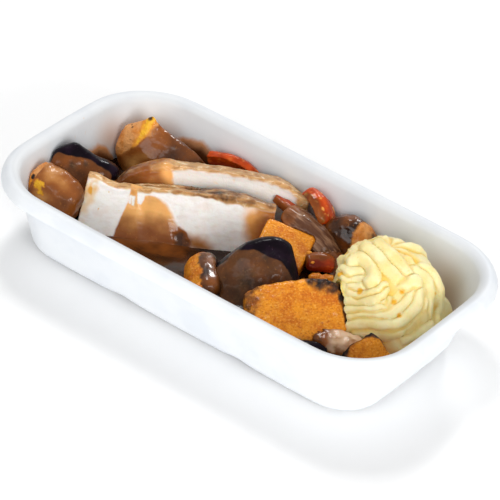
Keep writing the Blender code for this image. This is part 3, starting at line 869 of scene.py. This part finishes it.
# Pepper and onion

ALONG_LEAF = np.array((0.25, 1, 0.6))


def leaf_rule(seed, sauce_reach, edge_stain=0.0, dark=None):
    """Makes the rule for a leaf of pepper or onion, ribbed a little along its length."""
    def rule(places, _normals):
        x, y, z = places.T
        zero = np.zeros(len(places))
        ribs = field(places * ALONG_LEAF, 2.4, seed)
        reach = sauce_reach(x, y, z) + field(places, 4, seed + 1)
        shares = {
            "sauce": ramp(-0.5, 1.0, reach) * 0.85,
            "depth": 0.58 + 0.3 * field(places, 6, seed + 3),
            "stain": edge_stain * ramp(0.25, 0.5, field(places, 2.0, seed + 2)),
            "char": zero,
            "skin": dark(x, y, z) if dark else zero}
        return 0.3 * ribs + 0.3, shares
    return rule


PEPPER = {
    "pepper_right": leaf_rule(101, lambda x, y, z: -4.6 - y + 0.1 * x, 0.9),
    "pepper_strip": leaf_rule(
        105, lambda x, y, z: -1.0 - y * 0.8, 0.4, dark=lambda x, y, z: ramp(2, -6, x) * 0.4),
    "pepper_back": leaf_rule(
        109, lambda x, y, z: -6.0 - y, 0.15, dark=lambda x, y, z: 0.6 * ramp(0, 4, y)),
    "pepper_small": leaf_rule(
        113, lambda x, y, z: 0.5 + y * 0.5, 0.08, dark=lambda x, y, z: ramp(5, -2, x)),
}
ONION = {
    "onion_upper": leaf_rule(117, lambda x, y, z: -3.0 - x * 0.3),
    "onion_lower": leaf_rule(121, lambda x, y, z: 1.0 + x * 0.1),
}


def make_vegetables():
    """Every piece of the four kinds, by its own rule."""
    kinds = (
        (SQUASH, squash_finish), (AUBERGINE, aubergine_finish), (PEPPER, pepper_finish),
        (ONION, onion_finish))
    for rules, finish in kinds:
        for node, rule in rules.items():
            make_food(node, rule, finish(LAYS[node]))


# Mash

# The ridges of the mash that show, each a radius and a path in mm from the middle of its base
MASH_RIDGES = [
    (3.5, [(-5, -26, 15), (-3, -25, 17), (2, -23, 19), (8, -21, 21), (14, -18, 22), (17, -13, 24),
           (18, -8, 27), (18, -5, 31), (16, -2, 33)]),
    (3.0, [(-1, -25, 14), (6, -23, 17), (12, -21, 18), (18, -18, 21), (20, -11, 22), (22, -5, 25)]),
    (2.6, [(-6, -24, 20), (0, -22, 23), (7, -20, 25), (10, -17, 27), (13, -11, 29), (13, -6, 32),
           (13, -3, 35)]),
    (2.3, [(-9, -22, 21), (-3, -21, 24), (4, -20, 27), (8, -17, 29), (8, -14, 31)]),
    (2.2, [(-11, -20, 24), (-6, -19, 26), (1, -18, 30), (4, -15, 33), (4, -12, 35)]),
    (2.1, [(-12, -18, 28), (-7, -18, 28), (-3, -17, 31), (1, -15, 34), (2, -11, 36)]),
    (2.1, [(-13, -16, 30), (-10, -16, 30), (-5, -15, 34), (-3, -13, 36)]),
    (4.0, [(9, -4, 36), (10, -2, 37), (12, 0, 37)]),
    (2.6, [(17, -1, 33), (20, -3, 30), (22, -5, 26), (21, -9, 22), (20, -14, 20)]),
    (2.6, [(7, 5, 39), (11, 7, 38), (15, 7, 35), (18, 5, 31), (21, 1, 28), (23, -4, 25)]),
    (2.6, [(9, 10, 39), (13, 13, 36), (17, 12, 33), (21, 11, 28), (23, 9, 22), (25, 3, 21), (25, -4, 14)]),
    (1.6, [(1, 7, 41), (3, 8, 41), (6, 6, 40), (6, 3, 40), (4, 3, 40)]),
    (2.8, [(-28, 3, 26), (-28, -3, 29), (-21, -6, 37), (-24, 1, 36)]),
    (3.4, [(-19, -8, 38), (-15, -6, 39), (-8, -8, 39), (-4, -11, 37), (-5, -14, 35)]),
    (3.4, [(-18, 1, 41), (-10, -2, 41), (-3, -4, 40), (3, -4, 38), (7, -4, 37)]),
    (3.4, [(-14, 6, 42), (-7, 4, 42), (0, 2, 41), (6, 0, 39)]),
    (1.9, [(6, -16, 31), (9, -16, 29), (10, -12, 31), (10, -7, 34)]),
    (2.8, [(21, -16, 17), (23, -10, 18), (25, -4, 21)]),
    (2.4, [(-22, -12, 33), (-16, -13, 34), (-12, -11, 36)]),
    (2.1, [(-21, -14, 31), (-15, -15, 32), (-10, -13, 34)]),
]
# Drops of butter on the mash: places and radii in mm
BUTTER_SPOTS = [
    (-7, -17, 30, 1.1), (10, -13, 31, 0.9), (10, -8, 34, 0.8), (9, -21, 25, 0.8), (7, 0, 40, 0.6),
    (-20, -14, 31, 1.0), (-9, -15, 34, 0.6), (-4, 8, 43, 0.7), (14, -14, 26, 0.7), (20, 6, 31, 0.6)]
# How far its peak lies from the middle of its base, and its height, in mm
MASH_LEAN = (-9, 8)
MASH_HEIGHT = 43
SWIRLS = 4.5
GROOVE_DEPTH = 0.9
MASH_SINK = 1.95


def mash_rule(places, _normals):
    """Ropes of mash along the ridges, swirls where there are none, and creases between them, with painted
    shade stored for the creases and the top.
    """
    x, y, z = places.T
    warp = [field(places, 6, seed) for seed in (131, 132, 133)]
    warped = places + 0.8 * np.stack(warp, axis=1)
    ropes = np.zeros(len(places))
    second = np.zeros(len(places))
    for radius, path in MASH_RIDGES:
        away = path_distance(path, warped) / (radius * 1.08)
        rope = np.sqrt(np.clip(1 - away ** 2, 0, 1)) * radius
        second = np.maximum(second, np.minimum(ropes, rope))
        ropes = np.maximum(ropes, rope)
    groove = ramp(1.7, 0.0, ropes - second) * ramp(0.2, 1.4, second)
    level = z / MASH_HEIGHT
    angle = np.arctan2(y - MASH_LEAN[1] * level ** 2, x - MASH_LEAN[0] * level ** 2)
    swirl = np.abs(np.sin(angle * SWIRLS + level * 6 + 0.9 * field(places, 12, 135))) ** 0.6
    behind = ramp(2, 14, y - 0.2 * z)
    height = np.maximum(ropes, (0.9 + 1.3 * behind) * swirl * ramp(1.5, 0.3, ropes))
    height += 0.2 * fractal(places, 5, 137)
    ragged = ramp(-12, -20, x) * ramp(22, 30, z)
    height += ragged * 1.3 * ramp(0.3, 0.6, field(places, 3.2, 139))
    height -= GROOVE_DEPTH * groove
    # Darker yellow in low places and creases, partly the mash's own colour and partly painted shade, and at
    # its foot
    crease_colour_and_shade = np.maximum(ramp(1.2, 0.2, height), groove * (0.55 + 0.5 * warp[1])) + 0.3 * ramp(9, 0, z)
    # Painted shade greying the top of the mash
    crease_colour_and_shade += 0.2 * ramp(35, 41, z) * ramp(0.0, 0.4, warp[0])
    spots = np.zeros(len(places))
    for *middle, radius in BUTTER_SPOTS:
        spots = np.maximum(spots, spot(x, y, z, middle, radius, 0.9))
    return 0.9 * height - MASH_SINK, {"crease_colour_and_shade": crease_colour_and_shade, "spot": spots}


# Tray and gravy

def make_tray():
    """The tray, smoothed, with its inside and the smears on its walls stored for the material."""
    bm = merged_copy("tray")
    bmesh.ops.join_triangles(
        bm, faces=bm.faces, angle_face_threshold=math.radians(30), angle_shape_threshold=math.radians(70))
    piece = object_from(bm, "tray_dressed")
    smooth = piece.modifiers.new("smooth_moulding", "SUBSURF")
    smooth.levels = smooth.render_levels = 2
    settled(piece)
    piece.data.shade_smooth()
    places, normals = places_and_normals(piece.data)
    x, y, z = places.T
    outward = np.stack((x - np.clip(x, -CORE_X, CORE_X), y - np.clip(y, -CORE_Y, CORE_Y)), axis=1)
    facing = (outward * normals[:, :2]).sum(axis=1) / (np.linalg.norm(outward, axis=1) + MM)
    inside = ramp(0.2, -0.2, facing) * (normals[:, 2] > -0.2)
    reach = np.where(y > FAR_WALL, np.interp(x, *FAR_SMEAR), np.interp(y, *LEFT_SMEAR)) - z
    keep(piece.data, "inside", inside)
    keep(piece.data, "smear", (0.5 + reach / SMEAR_FADE) * inside * (x < SMEAR_END))
    dress(piece, tray_finish(), "tray")


def food_surface():
    """A tree of all the dressed food's faces, for distances from it."""
    points, faces = [], []
    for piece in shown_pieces():
        if not piece.name.endswith("_dressed") or piece.name.startswith("tray"):
            continue
        start = len(points)
        points += [vert.co.copy() for vert in piece.data.vertices]
        faces += [tuple(start + i for i in face.vertices) for face in piece.data.polygons]
    return BVHTree.FromPolygons(points, faces)


def inside_tray(x, y):
    """Moves a place that lies outside the tray's inner outline onto it, and says how far inside it is."""
    near = Vector((min(max(x, -CORE_X), CORE_X), min(max(y, -CORE_Y), CORE_Y)))
    out = Vector((x, y)) - near
    if out.length > TRAY_CORNER:
        out = out.normalized() * TRAY_CORNER
    return near.x + out.x, near.y + out.y, TRAY_CORNER - out.length


# Gravy by the front slice, in mm: how far its foot lies behind its middle, the bank that has run down it,
# and the dip along it, where less gravy stands
SLICE_FOOT_SHIFT = 3.0
BANK_HEIGHT = 1.0
BANK_MIDDLE = -14
BANK_HALF_LENGTH = 17
BANK_SPREAD = 4
DIP_DEPTH = 3.2
DIP_MIDDLE = 3
DIP_SPREAD = 14


def beside_slice(x, y):
    """Where a place in the gravy lies along the front slice, and how far out from its face, in mm."""
    middle, yaw = LAYS["chicken_front"][:2]
    turn = math.radians(yaw)
    dx, dy = x - middle[0], y - middle[1]
    along = dx * math.cos(turn) + dy * math.sin(turn)
    out = dx * math.sin(turn) - dy * math.cos(turn)
    return along, out + SLICE_FOOT_SHIFT


def heaped(x, y):
    """How far the gravy stands above its level by the front slice, in mm, with its bank and its dip."""
    along, out = beside_slice(x, y)
    bank = max(1 - ((along - BANK_MIDDLE) / BANK_HALF_LENGTH) ** 2, 0.0)
    bank *= math.exp(-max(out, 0.0) / BANK_SPREAD)
    dip = float(ramp(50, 38, abs(along))) * math.exp(-((out - DIP_MIDDLE) / DIP_SPREAD) ** 2)
    return BANK_HEIGHT * bank - DIP_DEPTH * dip


def off_slice(x, y):
    """The share of gravy that has just run off the slice, 1 at its foot and 0 away from it."""
    along, out = beside_slice(x, y)
    return float(ramp(24, 14, abs(along + 12)) * ramp(21, 0, out) * (out > -6))


def gravy_depth(x, y):
    """How dark the gravy is: brown where it runs off the slice, darker away from it."""
    return 0.94 - 0.34 * off_slice(x, y) + 0.16 * noise.noise((x / 7, y / 7, 1.0))


# The surface of the gravy: how many faces it has each way, and in mm how large and high its ripples are,
# and how high it creeps where it meets food and tray
GRAVY_FACES = (246, 119)
RIPPLES = ((11, 0.3, 3.0), (3.5, 0.06, 8.0))
CREEP_UP_FOOD = 0.5
CREEP_UP_TRAY = 1.0
# Its underside: a smaller copy of the surface, just above the tray's floor
UNDERSIDE_LENGTH = 0.93
UNDERSIDE_WIDTH = 0.9
UNDERSIDE_HEIGHT = 3.5


def gravy_height(x, y, from_wall, tree):
    """The height of the gravy's surface in mm."""
    height = GRAVY_LEVEL + heaped(x, y)
    for size, rise, seed in RIPPLES:
        height += rise * noise.noise((x / size, y / size, seed))
    from_food = tree.find_nearest(Vector((x, y, height)) * MM)[3] / MM
    creep = CREEP_UP_FOOD * (1 - off_slice(x, y)) * math.exp(-from_food)
    return height + creep + CREEP_UP_TRAY * math.exp(-from_wall)


def make_gravy():
    """The pool of gravy, which fills the tray's outline and rises round the food."""
    tree = food_surface()
    bm = bmesh.new()
    bmesh.ops.create_grid(bm, x_segments=GRAVY_FACES[0], y_segments=GRAVY_FACES[1], size=0.5)
    for vert in bm.verts:
        x, y, from_wall = inside_tray(vert.co.x * 2 * TRAY_HALF_LENGTH, vert.co.y * 2 * TRAY_HALF_WIDTH)
        vert.co = Vector((x, y, gravy_height(x, y, from_wall, tree))) * MM
    bmesh.ops.remove_doubles(bm, verts=bm.verts, dist=0.02 * MM)
    depth = bm.verts.layers.float.new("depth")
    fat = bm.verts.layers.float.new("fat")
    for vert in bm.verts:
        x, y = vert.co.x / MM, vert.co.y / MM
        vert[depth] = gravy_depth(x, y)
        vert[fat] = float(ramp(66, 84, x + 0.25 * y) * (0.9 + 0.5 * noise.noise((x / 6, y / 6, 5.0))))
    under = bmesh.ops.extrude_face_region(bm, geom=bm.faces[:])
    for vert in [item for item in under["geom"] if isinstance(item, bmesh.types.BMVert)]:
        vert.co.x *= UNDERSIDE_LENGTH
        vert.co.y *= UNDERSIDE_WIDTH
        vert.co.z = UNDERSIDE_HEIGHT * MM
    bmesh.ops.recalc_face_normals(bm, faces=bm.faces)
    piece = object_from(bm, "gravy_dressed")
    dress(piece, gravy_finish(), "gravy")


# Small bits that lie on the food: where, in mm, their radius, and how burnt and how pale they are
BITS = [
    ((22.5, 20.3), 1.1, 0.1, 0.2), ((27, 17), 0.8, 0.0, 0.3), ((24.5, 15), 0.9, 0.4, 0.0),
    ((27, -32), 1.4, 0.6, 0.0), ((47, -34), 1.6, 0.2, 0.0), ((52, -33), 1.3, 0.9, 0.0),
    ((56, -35), 1.7, 0.3, 0.2), ((62, -33), 1.1, 0.1, 0.3), ((-9, -30), 1.5, 0.4, 0.0),
    ((-1, -32), 1.8, 0.1, 0.0), ((6, -31), 1.4, 0.5, 0.1), ((-60, 38), 1.2, 0.8, 0.0),
    ((-52, 42), 1.0, 0.4, 0.0), ((88, -4), 1.2, 0.3, 0.3), ((92, 2), 0.9, 0.7, 0.0),
    ((40, 41), 1.1, 0.9, 0.0), ((49, 40), 1.3, 0.5, 0.2), ((-101, 5), 1.1, 0.7, 0.0),
    ((74, -33), 1.2, 0.4, 0.0),
]
DROPPED_FROM = 60
BIT_LUMPS = 0.7
BIT_LUMP_SCALE = 1.3
BIT_FLATNESS = 0.6


def make_bits():
    """Crumbs of squash, each where it would come to rest if dropped, or left out if it would miss."""
    tree = food_surface()
    bm = bmesh.new()
    char = bm.verts.layers.float.new("char")
    stain = bm.verts.layers.float.new("stain")
    for number, ((x, y), radius, burnt, pale) in enumerate(BITS):
        rest = tree.ray_cast(Vector((x, y, DROPPED_FROM)) * MM, Vector((0, 0, -1)))[0]
        if rest is None:
            continue
        made = bmesh.ops.create_icosphere(bm, subdivisions=3, radius=radius * MM)
        for vert in made["verts"]:
            grain = vert.co / (radius * MM) * BIT_LUMP_SCALE + Vector((number, 0, 0))
            lump = 1 + BIT_LUMPS * noise.noise(grain)
            vert.co = Vector((vert.co.x * lump, vert.co.y * lump, vert.co.z * lump * BIT_FLATNESS)) + rest
            vert[char] = burnt
            vert[stain] = pale
    piece = object_from(bm, "bits_dressed")
    piece.data.materials.append(squash_finish(LAYS["squash_crumb"]))
    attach(piece, "root")


# Camera, light and floor

def make_camera():
    """The camera at the photograph's angle, turned a little about its own line of sight."""
    azimuth, elevation, roll = (math.radians(angle) for angle in CAMERA_ANGLES)
    back = Vector((math.sin(azimuth) * math.cos(elevation), -math.cos(azimuth) * math.cos(elevation),
                   math.sin(elevation)))
    data = bpy.data.cameras.new("camera")
    data.lens = CAMERA_LENS
    data.sensor_width = 36
    data.clip_start = 0.05
    camera = own_object("camera", data)
    turn = back.to_track_quat("Z", "Y").to_matrix().to_4x4() @ Matrix.Rotation(roll, 4, "Z")
    camera.matrix_world = Matrix.Translation(CAMERA_AIM + back * CAMERA_DISTANCE) @ turn
    bpy.context.scene.camera = camera


# Each light: where it stands and what it faces, in metres, its size in metres and its power in watts
LIGHTS = {
    "key": ((-0.35, 0.3, 0.85), (0, 0, 0), 0.25, 3.2),
    "glint": ((-0.25, 0.95, 0.6), (0, 0, 0), 0.15, 3.0),
    "fill": ((0.1, -1.1, 0.3), (0, 0, 0.02), 0.9, 6.4),
    "side": ((1.0, -0.5, 0.38), (0, 0, 0.02), 0.6, 9.5),
}
SKY_STRENGTH = 0.46
FLOOR_SIZE = 2.0
FLOOR_GAP = 0.4


def make_lights():
    """Soft lights round the tray, and a pale sky."""
    for name, (place, aim, size, power) in LIGHTS.items():
        data = bpy.data.lights.new(name, "AREA")
        data.size = size
        data.energy = power
        light = own_object(name, data)
        light.location = place
        light.rotation_euler = (Vector(aim) - Vector(place)).to_track_quat("-Z", "Y").to_euler()
    world = bpy.data.worlds.new("studio")
    world.use_nodes = True
    sky = world.node_tree.nodes["Background"]
    sky.inputs["Color"].default_value = (1, 1, 1, 1)
    sky.inputs["Strength"].default_value = SKY_STRENGTH
    bpy.context.scene.world = world
    bpy.context.scene.view_settings.view_transform = "Standard"


def make_floor():
    """A pale floor that stands in for the ground and is not part of the object."""
    bm = bmesh.new()
    bmesh.ops.create_grid(bm, x_segments=1, y_segments=1, size=FLOOR_SIZE)
    bmesh.ops.translate(bm, vec=(0, 0, -FLOOR_GAP * MM), verts=bm.verts)
    floor = object_from(bm, "floor")
    paint = Finish("pale_floor", roughness=0.8, base_color=(246, 246, 246))
    floor.data.materials.append(paint.material)
    floor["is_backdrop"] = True


make_camera()
make_lights()
make_floor()
make_tray()
make_chicken()
make_vegetables()
make_food("mash", mash_rule, mash_finish())
make_gravy()
make_bits()
